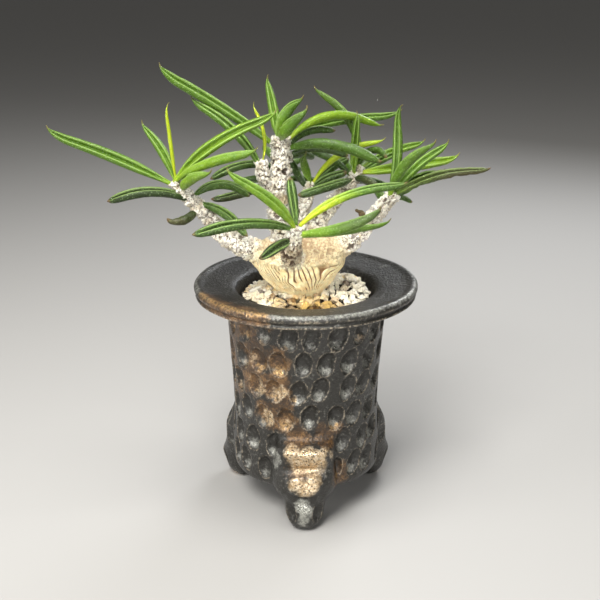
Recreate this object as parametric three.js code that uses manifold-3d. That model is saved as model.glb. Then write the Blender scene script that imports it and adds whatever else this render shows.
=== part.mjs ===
// A potted Euphorbia cylindrifolia: a swollen caudex with knobbly arms and heads of narrow rolled leaves,
// standing in grit in a small stoneware pot on three feet. Millimetres, +Z up, the table top at z = 0.
import * as THREE from "three";
import { mergeVertices } from "three/addons/utils/BufferGeometryUtils.js";
import Module from "manifold-3d";

const wasm = await Module();
wasm.setup();

// Clearance kept between neighbouring pieces.
const GAP = 0.35;
// Where the pot's axis stands, counted from the middle of the whole plant's outline on the table.
const POT_AXIS = { x: 12.5, y: -6.6 };

const vec = (x, y, z) => new THREE.Vector3(x, y, z);
const rad = THREE.MathUtils.degToRad;
const mix = THREE.MathUtils.lerp;

// The pot: one piece of fired stoneware, thrown, with a wide collar, thumbed dimples and three pinched feet.
const COLLAR = { radius: 42.5, top: 88.9, under: 83.4, opening: 26.4, columns: 48 };
const BODY = { bottom: 13, floor: 17, bore: 25, drain: 5.5 };
const DIMPLES = { around: 20, samples: 3, depth: 1.4, first: 16, pitch: 11, rows: 6 };
// Outer radius of the thrown wall at heights above the table.
const WALL = [
  [16, 30.0],
  [27, 28.9],
  [38, 28.3],
  [49, 28.4],
  [60, 29.1],
  [71, 29.8],
  [82, 30.6],
];
// How far each row of dimples is turned round the pot, in degrees, from the foot up.
const ROW_TURN = [-34, -26, -15, -6, -2, 5, 9];

// A foot from the sole up: height, inner radius, outer radius, half width across.
// The front foot has a brow over a nose. The back feet run down the wall as plain buttresses.
const FRONT_FOOT = [
  [0, 25.5, 33.6, 4.6],
  [1.6, 24.6, 35.2, 6.2],
  [5, 23.6, 36.6, 7.3],
  [9.5, 22.4, 36.9, 8.2],
  [12.6, 22, 35.6, 10.6],
  [16.5, 23, 37.0, 11.6],
  [21.5, 24, 35.6, 11.6],
  [26.5, 24.5, 32.9, 10.6],
  [31.5, 25, 34.5, 9.8],
  [34.2, 25, 33, 9.2],
  [36.2, 25, 28.2, 8],
];
const BACK_FOOT = [
  [0, 25.5, 31.6, 4.6],
  [1.6, 24.6, 33.4, 6.2],
  [4, 23.8, 35, 7.3],
  [7.6, 22.6, 36.7, 8],
  [11.3, 22.2, 37.1, 8.6],
  [14, 22.6, 35.9, 9.8],
  [19.7, 23.6, 33.9, 10.8],
  [24, 24.3, 33.3, 11],
  [28, 24.8, 32.4, 10.8],
  [32.5, 25, 30.7, 10],
  [36.2, 25, 28.2, 9],
];
// The feet round the pot, each with its direction: one to the front, two behind.
const FEET = [
  [FRONT_FOOT, -91],
  [BACK_FOOT, 26],
  [BACK_FOOT, 155],
];

// The plastic net over the drain hole, which keeps the grit in.
const NET = { radius: 9, thick: 1, holes: 4, hole: 2.2, bar: 1 };

// The grit: pumice and baked clay that fills the pot, heaped behind the right of the caudex.
const GRIT = { edge: 83.2, mound: 3.4, radius: BODY.bore - GAP, columns: 28, stones: 30 };
const HEAP = { x: 17, y: 10, height: 2.6, spread: 9 };

// The caudex: height, centre x, centre y, half width x, half width y. Below SOIL it is the buried root.
const CAUDEX = [
  [50, 0, 0, 1.6, 1.6],
  [62, 0, 0, 3.6, 3.4],
  [74, 0.2, 0, 6.4, 6],
  [83, -0.8, 0, 9.4, 8.6],
  [87, -2.3, 0, 13.1, 11.6],
  [91, -2.7, -0.4, 16, 13.6],
  [95, -2.8, -0.6, 17.8, 14.8],
  [99, -2.7, -0.6, 18.1, 15],
  [102.4, -2.1, 0, 15.7, 13.4],
  [105, -1.4, 0.6, 11.4, 9.6],
  [106.4, -1.2, 1, 5.6, 4.6],
];

// The shoots: each starts inside the caudex, or in the tall one for its short fork, the spur, and rises through
// these points. The radii are at its root and its tip.
// Above `cut` (mm from its root) a shoot is a leafy stem, and below it is an arm of the caudex.
const SHOOTS = {
  left: {
    path: [vec(-12, -2, 98), vec(-23, -4, 103), vec(-29.5, -5, 107), vec(-37, -6, 116), vec(-47.7, -8, 128)],
    radii: [6, 1.9],
    cut: 32,
  },
  tall: {
    path: [vec(-7, 1, 98), vec(-9.4, 1, 108.6), vec(-10.4, 2, 119), vec(-9.2, 2, 132), vec(-9.1, 2, 142.3)],
    radii: [4.4, 3.4],
    cut: 33,
  },
  spur: {
    path: [vec(-10.2, 1.5, 120), vec(-15.2, -0.4, 127.4), vec(-16.4, -1.6, 134.4)],
    radii: [2.9, 2],
    cut: 9,
  },
  front: {
    path: [vec(-5, -8, 98), vec(-5.4, -15.5, 103.2), vec(-4.6, -19, 109.5), vec(-3.1, -22, 115)],
    radii: [4.6, 2.3],
    cut: 15,
  },
  right: {
    path: [vec(8, -1, 99), vec(16.5, -2, 104.5), vec(24, -3, 113), vec(29, -4, 119), vec(32.6, -4, 123)],
    radii: [5.4, 2.2],
    cut: 26,
  },
  rear: {
    path: [vec(1, 6, 100), vec(5.5, 9, 110), vec(13, 12, 118.6), vec(18, 14, 124.4), vec(20.8, 16, 128.4)],
    radii: [4.2, 2.1],
    cut: 27.5,
  },
  inner: {
    path: [vec(-3, 5, 100), vec(-1.6, 8, 110.5), vec(0, 10, 117), vec(2, 12, 123)],
    radii: [3.4, 2],
    cut: 18,
  },
  far: {
    path: [vec(-6, 7, 99), vec(-8.5, 14, 109.5), vec(-9.4, 20, 118.6), vec(-8.7, 26, 127)],
    radii: [4.4, 2],
    cut: 25.5,
  },
};

// Knobs left by old leaves: ring spacing along a shoot, and how far they stand out and sink in.
const KNOBS = { spacing: 1.9, out: 0.75, in: 0.4, sides: 8 };

// Half section of a rolled leaf as [across, up] shares of its width: the groove, its lip, the side, the keel.
const LEAF_SECTION = [
  [0, 0.06],
  [0.24, 0.36],
  [0.5, 0.08],
  [0.26, -0.36],
];
// Width along a leaf, as a share of its full width.
const LEAF_WIDTH = [
  [0, 0.5],
  [0.12, 0.66],
  [0.32, 0.94],
  [0.55, 1],
  [0.78, 0.88],
  [0.93, 0.48],
  [1, 0],
];
const LEAF_SUNK = 1.2;
// How much a leaf tip hooks up, in degrees, over the last fifth of its length.
const TIP_HOOK = 26;

// The leaves as they grow: back from the tip of the shoot, turn round Z (0 is right, 90 away), rise above level,
// length, width, bend up and sway round from root to tip, and the roll of the groove. Millimetres and degrees.
const leaf = (back, turn, rise, long, wide, bend, sway, roll = 0) => ({
  back,
  turn,
  rise,
  long,
  wide,
  bend,
  sway,
  roll,
});
const LEAVES = {
  left: [
    leaf(0.6, 219, 84, 29, 1.8, -2, 11),
    leaf(1, 186, 24, 49, 3.7, -10, 11, -55),
    leaf(1, 152, 53, 26, 3.2, -36, 6, 40),
    leaf(0, 1, 31, 46, 3.6, -40, 28, 65),
    leaf(0, 343, 20, 36, 3.8, -30, 37, -10),
    leaf(4, 311, 24, 22, 4.4, -31, 40, -10),
    leaf(9, 20, -5, 24, 3.4, -96, -13, 30),
    leaf(9, 196, 3, 32, 3.5, -60, -13, -30),
    leaf(13, 218, 11, 12, 3.0, 31, -44),
    leaf(12, 348, -34, 22, 3.4, -56, -7, -15),
    leaf(4, 78, 6, 22, 3.2, -20, 0),
  ],
  tall: [
    leaf(3, 183, 33, 51, 3.8, -9, 16, -50),
    leaf(1, 123, 69, 24, 3.4, -7, 12, -30),
    leaf(1, 339, 58, 22, 4.2, -90, -39, 35),
    leaf(0, 308, 36, 22, 4.8, 2, 60, 40),
    leaf(2, 18, 0, 40, 3.2, -60, -15, 30),
    leaf(4, 350, -8, 36, 4.0, -54, -8, 35),
    leaf(7, 11, -3, 24, 3.0, -59, -11),
    leaf(5, 27, 14, 23, 3.1, -65, -44),
    leaf(1, 29, 5, 54, 3.2, -24, -60, 45),
    leaf(4, 84, 0, 30, 3.2, -30, 10),
    leaf(8, 62, -10, 24, 3.2, -30, 0),
  ],
  spur: [
    leaf(3, 173, 42, 39, 3.3, -54, -48, -35),
    leaf(0, 181, 78, 22, 1.8, -54, 6),
  ],
  front: [
    leaf(0, 115, 72, 17, 3.0, -8, 1, -25),
    leaf(0, 205, 39, 35, 3.8, -28, -61, -20),
    leaf(1, 199, 1, 37, 3.6, -44, -13, 15),
    leaf(6, 228, -9, 16, 3.4, -90, -49, -20),
    leaf(0, 12, 17, 43, 3.2, -38, -40, -10),
    leaf(2, 351, 18, 32, 4.2, 28, 35, -30),
    leaf(4, 7, 6, 35, 3.0, -8, 43, -30),
  ],
  right: [
    leaf(0, 351, 16, 37, 3.2, -43, 12, 50),
    leaf(2, 316, 46, 31, 4.2, -53, 25, 100),
    leaf(2, 10, 41, 31, 3.2, -34, -14, 50),
    leaf(3, 84, 78, 35, 3.3, 33, 108, -95),
    leaf(3, 19, 19, 25, 2.9, -41, -43, 20),
    leaf(4, 31, -11, 12, 2.0, -64, -40),
    leaf(5, 43, 9, 17, 1.9, -9, -37),
    leaf(6, 96, 4, 24, 3.2, -20, 0),
  ],
  rear: [
    leaf(2, 351, 10, 39, 3.8, -1, 13, 95),
    leaf(4, 274, 67, 28, 2.8, 11, 25, -145),
    leaf(0, 186, 58, 36, 3.3, -16, 70, -40),
    leaf(5, 163, 28, 19, 3.1, -45, -8),
    leaf(1, 322, 21, 19, 2.7, -130, -60),
    leaf(2, 22, 21, 20, 2.6, -20, 0, 70),
    leaf(0, 18, 17, 29, 3.1, -16, -38, 65),
    leaf(6, 215, -7, 26, 3.4, -17, -49, -10),
    leaf(5, 310, -5, 13, 3.2, -37, 15),
    leaf(3, 72, 0, 32, 3.3, -20, 10),
    leaf(4, 100, 4, 30, 3.3, -26, 0),
    leaf(6, 52, -14, 24, 3.0, -20, 0),
  ],
  inner: [
    leaf(0, 1, 29, 34, 2.6, -66, -2),
    leaf(1, 40, 23, 21, 3.1, -21, -22, 25),
    leaf(2, 2, 25, 15, 3.2, -36, -10, 60),
    leaf(0, 258, 49, 18, 3.4, -50, 80, 145),
    leaf(2, 140, 51, 13, 3.1, 13, -40),
  ],
  far: [
    leaf(3, 202, -2, 31, 3.2, -74, -22, -65),
    leaf(6, 208, -10, 30, 3.2, 7, -24, -55),
    leaf(0, 95, 42, 26, 3.2, -20, 0),
    leaf(2, 56, 8, 34, 3.4, -24, 0),
    leaf(2, 106, 6, 32, 3.4, -26, 0),
    leaf(4, 78, -8, 30, 3.3, -24, 0),
    leaf(5, 150, -14, 24, 3.2, -20, 0),
    leaf(5, 34, -16, 26, 3.2, -20, 0),
  ],
};

// Colour, roughness and metalness of each material.
const FINISH = {
  stoneware: ["#3b3a3a", 0.5, 0.15],
  netting: ["#1d1f20", 0.6, 0],
  grit: ["#d6c3a0", 0.95, 0],
  bark: ["#dcc9a2", 0.85, 0],
  leaf: ["#4f8a2b", 0.45, 0],
};

// Random numbers that come out the same on every run.
function seeded(seed) {
  let state = seed;
  return () => {
    state = (state * 16807) % 2147483647;
    return state / 2147483647;
  };
}

// A closed geometry as a solid that can be joined and cut.
function solid(geometry) {
  const bare = geometry.clone();
  bare.deleteAttribute("normal");
  bare.deleteAttribute("uv");
  const merged = mergeVertices(bare, 1e-3);
  return new wasm.Manifold(
    new wasm.Mesh({
      numProp: 3,
      vertProperties: merged.attributes.position.array,
      triVerts: new Uint32Array(merged.index.array),
    }),
  );
}

// A joined solid as a geometry again.
function geometryOf(body) {
  const mesh = body.getMesh();
  return new THREE.BufferGeometry()
    .setAttribute("position", new THREE.BufferAttribute(new Float32Array(mesh.vertProperties), 3))
    .setIndex(new THREE.BufferAttribute(new Uint32Array(mesh.triVerts), 1));
}

function joined(bodies) {
  return bodies.reduce((whole, next) => whole.add(next));
}

// Moves each vertex of a geometry to where place(vertex) says.
function shaped(geometry, place) {
  const at = geometry.attributes.position;
  for (let i = 0; i < at.count; i++) {
    const p = place(new THREE.Vector3().fromBufferAttribute(at, i));
    at.setXYZ(i, p.x, p.y, p.z);
  }
  return geometry;
}

// A round solid turned about Z from a profile of [radius, height] pairs that starts and ends on the axis.
function turned(profile, columns) {
  const points = profile.map(([r, z]) => new THREE.Vector2(r, z));
  return new THREE.LatheGeometry(points, columns).rotateX(Math.PI / 2);
}

// Reads a value from a table of [station, value, value, ...] rows, straight between the rows.
function read(table, station, column = 1) {
  const next = table.findIndex((row) => row[0] >= station);
  if (next === -1) return table[table.length - 1][column];
  if (next === 0) return table[0][column];
  const [a, b] = [table[next - 1], table[next]];
  return mix(a[column], b[column], (station - a[0]) / (b[0] - a[0]));
}

// A tube over stations 0 to 1: place(station, angle) gives each point of its skin. The end may close in a point.
function tube(sides, bands, pointed, place) {
  const drum = new THREE.CylinderGeometry(pointed ? 0 : 1, 1, 1, sides, bands).rotateX(Math.PI / 2);
  return shaped(drum, (p) => place(p.z + 0.5, Math.atan2(p.y, p.x), Math.hypot(p.x, p.y) < 1e-6));
}

function bodySolid() {
  const { first, pitch, rows, samples, depth, around } = DIMPLES;
  const profile = [
    [0, BODY.bottom],
    [22, BODY.bottom],
    [27.5, BODY.bottom + 0.6],
  ];
  for (let i = 0; i <= rows * samples; i++) {
    const z = first + (i * pitch) / samples;
    profile.push([read(WALL, z), z]);
  }
  profile.push([28, COLLAR.under + 1], [0, COLLAR.under + 1]);
  const geometry = turned(profile, around * samples);
  return shaped(geometry, (p) => {
    const radius = Math.hypot(p.x, p.y);
    const row = (p.z - first) / pitch;
    if (radius < 27 || row < -1e-3 || row > rows + 1e-3) return p;
    const column = (Math.atan2(p.y, p.x) / (2 * Math.PI)) * around;
    const onRidge = [row, column].some((n) => Math.abs(n - Math.round(n)) < 0.05);
    const low = Math.min(Math.floor(row + 1e-3), rows - 1);
    const turn = rad(mix(ROW_TURN[low], ROW_TURN[low + 1], row - low));
    const sunk = radius - (onRidge ? 0 : depth);
    return vec(sunk, 0, p.z).applyAxisAngle(vec(0, 0, 1), Math.atan2(p.y, p.x) + turn);
  });
}

function collarSolid() {
  const { radius, top, under, opening } = COLLAR;
  const profile = [
    [0, under],
    [36, under],
    [radius - 1.3, under + 0.9],
    [radius, under + 2.4],
    [radius, top - 1.6],
    [radius - 1.4, top - 0.1],
    [radius - 4, top - 0.3],
    [opening + 1, top - 2],
    [0, top - 2],
  ];
  return turned(profile, COLLAR.columns);
}

function cavitySolid() {
  const { bore, floor } = BODY;
  const profile = [
    [0, floor],
    [bore - 3, floor],
    [bore - 0.2, floor + 3],
    [bore, COLLAR.top - 7],
    [COLLAR.opening, COLLAR.top - 2.4],
    [COLLAR.opening + 0.8, COLLAR.top + 2],
    [0, COLLAR.top + 2],
  ];
  return turned(profile, 36);
}

function footSolid(rows, turn) {
  const bands = rows.length - 1;
  const geometry = tube(10, bands, false, (station, angle, onAxis) => {
    const [z, inner, outer, half] = rows[Math.round(station * bands)];
    const out = onAxis ? 0 : Math.cos(angle);
    const across = onAxis ? 0 : Math.sin(angle);
    const square = (n) => Math.sign(n) * Math.abs(n) ** 0.75;
    const radial = (inner + outer) / 2 + (square(out) * (outer - inner)) / 2;
    const side = square(across) * half * (1 - 0.26 * out);
    return vec(radial, side, z);
  });
  return geometry.rotateZ(rad(turn));
}

function pot() {
  const feet = FEET.map(([rows, turn]) => solid(footSolid(rows, turn)));
  const drain = new THREE.CylinderGeometry(BODY.drain, BODY.drain, 8, 20);
  drain.rotateX(Math.PI / 2).translate(0, 0, BODY.floor - 2);
  return joined([solid(bodySolid()), solid(collarSolid()), ...feet])
    .subtract(solid(cavitySolid()))
    .subtract(solid(drain));
}

function drainNet() {
  const { radius, thick, holes, hole, bar } = NET;
  const step = hole + bar;
  let net = solid(new THREE.CylinderGeometry(radius, radius, thick, 24).rotateX(Math.PI / 2));
  for (let i = 0; i < holes; i++)
    for (let j = 0; j < holes; j++) {
      const x = (i - (holes - 1) / 2) * step;
      const y = (j - (holes - 1) / 2) * step;
      net = net.subtract(solid(new THREE.BoxGeometry(hole, hole, 3 * thick).translate(x, y, 0)));
    }
  return net.translate(0, 0, BODY.floor + GAP + thick / 2);
}

function caudexBody(extra) {
  const bands = CAUDEX.length - 1;
  return solid(
    tube(16, bands, false, (station, angle, onAxis) => {
      const [z, cx, cy, rx, ry] = CAUDEX[Math.round(station * bands)];
      const fold = z > 84 ? 0.35 * Math.cos(5 * angle + z) : 0;
      const lift = station > 0.5 ? extra : -extra;
      if (onAxis) return vec(cx, cy, z + lift);
      const x = cx + (rx + fold + extra) * Math.cos(angle);
      const y = cy + (ry + fold + extra) * Math.sin(angle);
      return vec(x, y, z + (station === 0 || station === 1 ? lift : 0));
    }),
  );
}

function shootSolid({ path, radii }, from, to) {
  const random = seeded(Math.round(1000 + 37 * path[1].x + 91 * path[1].z + 13 * from));
  const knobs = Array.from({ length: 400 }, () => mix(-KNOBS.in, KNOBS.out, random()));
  const curve = new THREE.CatmullRomCurve3(path, false, "centripetal");
  const length = curve.getLength();
  const end = to ?? length;
  const bands = Math.max(2, Math.round((end - from) / KNOBS.spacing));
  return solid(
    tube(KNOBS.sides, bands, false, (station, angle, onAxis) => {
      const along = mix(from, end, station) / length;
      const at = curve.getPointAt(along);
      const d = curve.getTangentAt(along);
      const u = vec(0, 1, 0).cross(d).normalize();
      const v = d.clone().cross(u);
      if (onAxis) return at;
      const ring = Math.round(station * bands);
      const column = Math.round((angle / (2 * Math.PI)) * KNOBS.sides + KNOBS.sides) % KNOBS.sides;
      const standing = ring === 0 || ring === bands ? 0 : knobs[ring * KNOBS.sides + column];
      const radius = mix(radii[0], radii[1], Math.sqrt(along)) + standing;
      return at.addScaledVector(u, radius * Math.cos(angle)).addScaledVector(v, radius * Math.sin(angle));
    }),
  );
}

// A leaf's centre line: it leaves the shoot at `turn` round Z and `rise` above level, both changing along it.
function leafLine(root, leaf) {
  const steps = 30;
  const points = [root.clone()];
  const heads = [];
  for (let i = 0; i < steps; i++) {
    const s = (i + 0.5) / steps;
    const hook = TIP_HOOK * Math.max(0, (s - 0.8) / 0.2);
    const rise = rad(leaf.rise + leaf.bend * (s - 0.5) + hook);
    const turn = rad(leaf.turn + leaf.sway * (s - 0.5));
    const head = vec(Math.cos(rise) * Math.cos(turn), Math.cos(rise) * Math.sin(turn), Math.sin(rise));
    heads.push(head);
    points.push(points[i].clone().addScaledVector(head, leaf.long / steps));
  }
  return { points, heads, steps };
}

// Where a leaf stands on its shoot: its centre line from just inside the bark, and the way its groove faces.
function leafFrame(shoot, leaf) {
  const curve = new THREE.CatmullRomCurve3(shoot.path, false, "centripetal");
  const along = Math.max(0, 1 - leaf.back / curve.getLength());
  const axis = curve.getTangentAt(along);
  const { heads: open } = leafLine(vec(0, 0, 0), leaf);
  const out = open[0].clone().addScaledVector(axis, -open[0].dot(axis));
  const stem = mix(shoot.radii[0], shoot.radii[1], Math.sqrt(along));
  const sink = out.length() > 0.3 ? Math.max(0, stem - LEAF_SUNK) : 0;
  const root = curve.getPointAt(along).addScaledVector(out.normalize(), sink);
  if (sink === 0) root.addScaledVector(axis, -LEAF_SUNK);
  const line = leafLine(root, leaf);
  const middle = line.heads[Math.round(line.steps / 2)];
  let face = axis.clone().addScaledVector(middle, -axis.dot(middle));
  if (face.length() < 0.25) face = vec(0, 0, 1).addScaledVector(middle, -middle.z);
  face.normalize().applyAxisAngle(middle, rad(leaf.roll));
  return { ...line, face };
}

function leafSolid(shoot, leaf) {
  const { points, heads, steps, face } = leafFrame(shoot, leaf);
  const half = LEAF_SECTION.length;
  const sides = 2 * half - 1;
  const bands = LEAF_WIDTH.length - 1;
  return solid(
    tube(sides, bands, true, (station, angle, onAxis) => {
      const [s, share] = LEAF_WIDTH[Math.round(station * bands)];
      const at = points[Math.min(steps, Math.round(s * steps))].clone();
      if (onAxis) return at;
      const head = heads[Math.min(steps - 1, Math.round(s * steps))];
      const up = face.clone().addScaledVector(head, -face.dot(head)).normalize();
      const side = up.clone().cross(head);
      const turn = ((Math.round((angle / (2 * Math.PI)) * sides) % sides) + sides) % sides;
      const [across, height] = LEAF_SECTION[turn < half ? turn : sides - turn];
      const flip = turn < half ? -1 : 1;
      const width = leaf.wide * share;
      return at.addScaledVector(side, flip * across * width).addScaledVector(up, height * width);
    }),
  );
}

// The swollen stem with the lower part of every arm.
function caudex() {
  const arms = Object.values(SHOOTS).map((shoot) => shootSolid(shoot, 0, shoot.cut - GAP));
  return joined([caudexBody(0), ...arms]);
}

// A leafy stem: the upper part of an arm with every leaf that it carries.
function leafyStem(name) {
  const shoot = SHOOTS[name];
  const parts = [shootSolid(shoot, shoot.cut)];
  parts.push(...LEAVES[name].map((one) => leafSolid(shoot, one)));
  return joined(parts);
}

function gritHeight(x, y) {
  const out = Math.hypot(x, y) / GRIT.radius;
  const away = Math.hypot(x - HEAP.x, y - HEAP.y) / HEAP.spread;
  return GRIT.edge + GRIT.mound * (1 - out * out) + HEAP.height * Math.exp(-away * away);
}

function grit() {
  const random = seeded(11);
  const floor = BODY.floor + GAP;
  const profile = [
    [0, floor + NET.thick + GAP],
    [NET.radius + GAP, floor + NET.thick + GAP],
    [NET.radius + GAP, floor],
    [BODY.bore - 3.6, floor],
    [BODY.bore - 0.9, floor + 2.8],
    [GRIT.radius - 0.2, 50],
    [GRIT.radius - 0.2, GRIT.edge - 1],
    ...[23, 19.5, 16, 12.5].map((r) => [r, 90]),
    [0, 90],
  ];
  const heap = shaped(turned(profile, GRIT.columns), (p) => {
    if (p.z < 89) return p;
    const coarse = 0.9 * Math.sin(1.7 * p.x + 0.6 * p.y) * Math.cos(1.5 * p.y - 0.5 * p.x);
    return vec(p.x, p.y, gritHeight(p.x, p.y) - 0.8 + coarse * 0.6);
  });
  const stones = [];
  while (stones.length < GRIT.stones) {
    const turn = 2 * Math.PI * random();
    const out = mix(10.5, 21.4, Math.sqrt(random()));
    const size = mix(1.7, 2.9, random());
    const tilt = 3 * random();
    const stone = new THREE.IcosahedronGeometry(size, 0).scale(1, 0.86, 0.74);
    stone.rotateX(tilt).rotateZ(turn * 5);
    const [x, y] = [out * Math.cos(turn), out * Math.sin(turn)];
    stones.push(solid(stone.translate(x, y, gritHeight(x, y) - 0.2)));
  }
  return joined([solid(heap), ...stones]).subtract(caudexBody(GAP));
}

function piece(name, finish, body) {
  const [color, roughness, metalness] = FINISH[finish];
  const material = new THREE.MeshStandardMaterial({ color, roughness, metalness });
  const mesh = new THREE.Mesh(geometryOf(body), material);
  mesh.name = name;
  return mesh;
}

const potted = new THREE.Group();
potted.position.set(POT_AXIS.x, POT_AXIS.y, 0);
potted.add(piece("pot", "stoneware", pot()));
potted.add(piece("drain_net", "netting", drainNet()));
potted.add(piece("grit", "grit", grit()));
potted.add(piece("caudex", "bark", caudex()));
for (const name of Object.keys(SHOOTS)) potted.add(piece(`leafy_stem_${name}`, "leaf", leafyStem(name)));

export default potted;
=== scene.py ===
import math
import random
import bmesh
import bpy
from mathutils import Matrix, Vector, kdtree, noise


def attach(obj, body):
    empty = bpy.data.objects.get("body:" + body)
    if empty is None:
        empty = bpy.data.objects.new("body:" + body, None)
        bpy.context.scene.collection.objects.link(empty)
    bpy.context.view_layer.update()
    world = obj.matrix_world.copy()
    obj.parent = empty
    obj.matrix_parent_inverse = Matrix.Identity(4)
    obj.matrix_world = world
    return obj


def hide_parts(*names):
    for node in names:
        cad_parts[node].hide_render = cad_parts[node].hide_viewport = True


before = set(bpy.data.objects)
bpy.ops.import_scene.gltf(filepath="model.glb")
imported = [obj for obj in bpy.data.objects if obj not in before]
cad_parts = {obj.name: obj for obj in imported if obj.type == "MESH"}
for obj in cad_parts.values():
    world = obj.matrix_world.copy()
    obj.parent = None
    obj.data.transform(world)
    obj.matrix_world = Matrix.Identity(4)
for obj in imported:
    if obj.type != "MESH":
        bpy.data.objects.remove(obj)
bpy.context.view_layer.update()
# Noise starts from a fixed seed, so that every run gives the same plant and pot.
noise.seed_set(5)

# The camera: straight in front of the pot and a little above it, looking down on the collar.
# All the tables of millimetres below are counted from the point where the pot's axis meets the floor.
POT_AXIS = Vector((0.0125, -0.0066, 0.0))
CAMERA_PLACE = (0, -352, 205)
LOOK_DOWN = 19.5
LENS_LONG = 58.5
LENS_SHIFT = -0.01


def spot(x, y, z):
    """A point in millimetres from the pot's axis, in the metres of the frame."""
    return POT_AXIS + Vector((x, y, z)) / 1000


def set_out(name, data):
    """A new object with this data, set out in the scene."""
    made = bpy.data.objects.new(name, data)
    bpy.context.scene.collection.objects.link(made)
    return made


lens = bpy.data.cameras.new("camera")
lens.sensor_width = 36
lens.lens = LENS_LONG
lens.shift_x = LENS_SHIFT
lens.clip_start = 0.01
camera = set_out("camera", lens)
camera.location = spot(*CAMERA_PLACE)
camera.rotation_euler = (math.radians(90 - LOOK_DOWN), 0, 0)
bpy.context.scene.camera = camera
bpy.context.scene.view_settings.view_transform = "Standard"

# The light: a wide panel high in front of the pot, one overhead, weaker ones low in front and at the left,
# one behind for the edges, and pale surroundings. A small panel with a grid lights only the caudex and stems.
# Per panel: place, side, watts, tint, spread in degrees, and the height on the pot's axis that it aims at.
PANELS = [
    ("key_panel", (-150, -370, 560), 260, 4.9, (1.0, 0.985, 0.95), 180, 90),
    ("top_panel", (20, -90, 640), 240, 2.4, (1.0, 0.99, 0.96), 180, 90),
    ("front_panel", (120, -600, 190), 240, 1.5, (1.0, 0.99, 0.96), 180, 90),
    ("grid_panel", (-40, -560, 230), 40, 0.0105, (1.0, 0.98, 0.93), 11, 106),
    ("left_panel", (-560, -180, 260), 260, 1.3, (1.0, 0.98, 0.95), 180, 90),
    ("back_panel", (260, 460, 440), 260, 2.0, (0.95, 0.97, 1.0), 180, 90),
]
SURROUNDINGS_TINT = (0.8, 0.79, 0.76, 1)
SURROUNDINGS_STRENGTH = 0.15
for name, place, side, watts, tint, beam, aim in PANELS:
    glow = bpy.data.lights.new(name, "AREA")
    glow.size = side / 1000
    glow.energy = watts
    glow.color = tint
    glow.spread = math.radians(beam)
    panel = set_out(name, glow)
    panel.location = spot(*place)
    panel.rotation_euler = (spot(0, 0, aim) - panel.location).to_track_quat("-Z", "Y").to_euler()
surroundings = bpy.data.worlds.new("surroundings")
surroundings.use_nodes = True
surroundings.node_tree.nodes["Background"].inputs["Color"].default_value = SURROUNDINGS_TINT
surroundings.node_tree.nodes["Background"].inputs["Strength"].default_value = SURROUNDINGS_STRENGTH
bpy.context.scene.world = surroundings

# The floor: a flat disc painted a plain pale grey. It only carries the pot and is no piece of it.
# Its radius is in metres.
FLOOR_RADIUS = 9


def wire(node, sockets):
    """Gives each of these inputs of a node a number, a colour or another node's socket."""
    for name, value in sockets.items():
        if isinstance(value, bpy.types.NodeSocket):
            node.id_data.links.new(value, node.inputs[name])
        else:
            node.inputs[name].default_value = value


def new_finish(name, sockets):
    """A material with its own Principled BSDF, whose plain values are set straight on its sockets."""
    material = bpy.data.materials.new(name)
    material.use_nodes = True
    surface = material.node_tree.nodes["Principled BSDF"]
    wire(surface, sockets)
    return material, material.node_tree, surface


def made_up(name, shape, finish):
    """The finished bmesh as an object of the scene, in its finish."""
    mesh = bpy.data.meshes.new(name)
    shape.to_mesh(mesh)
    shape.free()
    mesh.materials.append(finish)
    return set_out(name, mesh)


disc = bmesh.new()
bmesh.ops.create_circle(disc, cap_ends=True, segments=64, radius=FLOOR_RADIUS)
floor_paint, _, _ = new_finish("floor_paint", {"Base Color": (0.4, 0.392, 0.38, 1), "Roughness": 0.85})
floor = made_up("floor", disc, floor_paint)

# The grain: the soft patches, dark flecks and small pits that glaze, stone, bark and leaf skin all have.
# It is one node group, placed in each of those finishes at its own scale.


def shade(tree, kind, inputs=None, **settings):
    """Adds a shader node with these settings and inputs."""
    made = tree.nodes.new("ShaderNode" + kind)
    for name, value in settings.items():
        setattr(made, name, value)
    wire(made, inputs or {})
    return made


def reckon(operation, first, second=0.0, clamp=False):
    """The result of a Math node, in the tree of whichever of its inputs is a socket."""
    tree = (second if isinstance(first, float) else first).id_data
    return shade(tree, "Math", {0: first, 1: second}, operation=operation, use_clamp=clamp).outputs[0]


def plus(first, second):
    return reckon("ADD", first, second)


def minus(first, second):
    return reckon("SUBTRACT", first, second)


def times(first, second):
    return reckon("MULTIPLY", first, second)


def spread(value, low, high, to_low=0.0, to_high=1.0):
    """A value taken from one range to another, softly and with its ends held."""
    ends = {"Value": value, "From Min": low, "From Max": high, "To Min": to_low, "To Max": to_high}
    return shade(value.id_data, "MapRange", ends, interpolation_type="SMOOTHSTEP").outputs["Result"]


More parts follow.
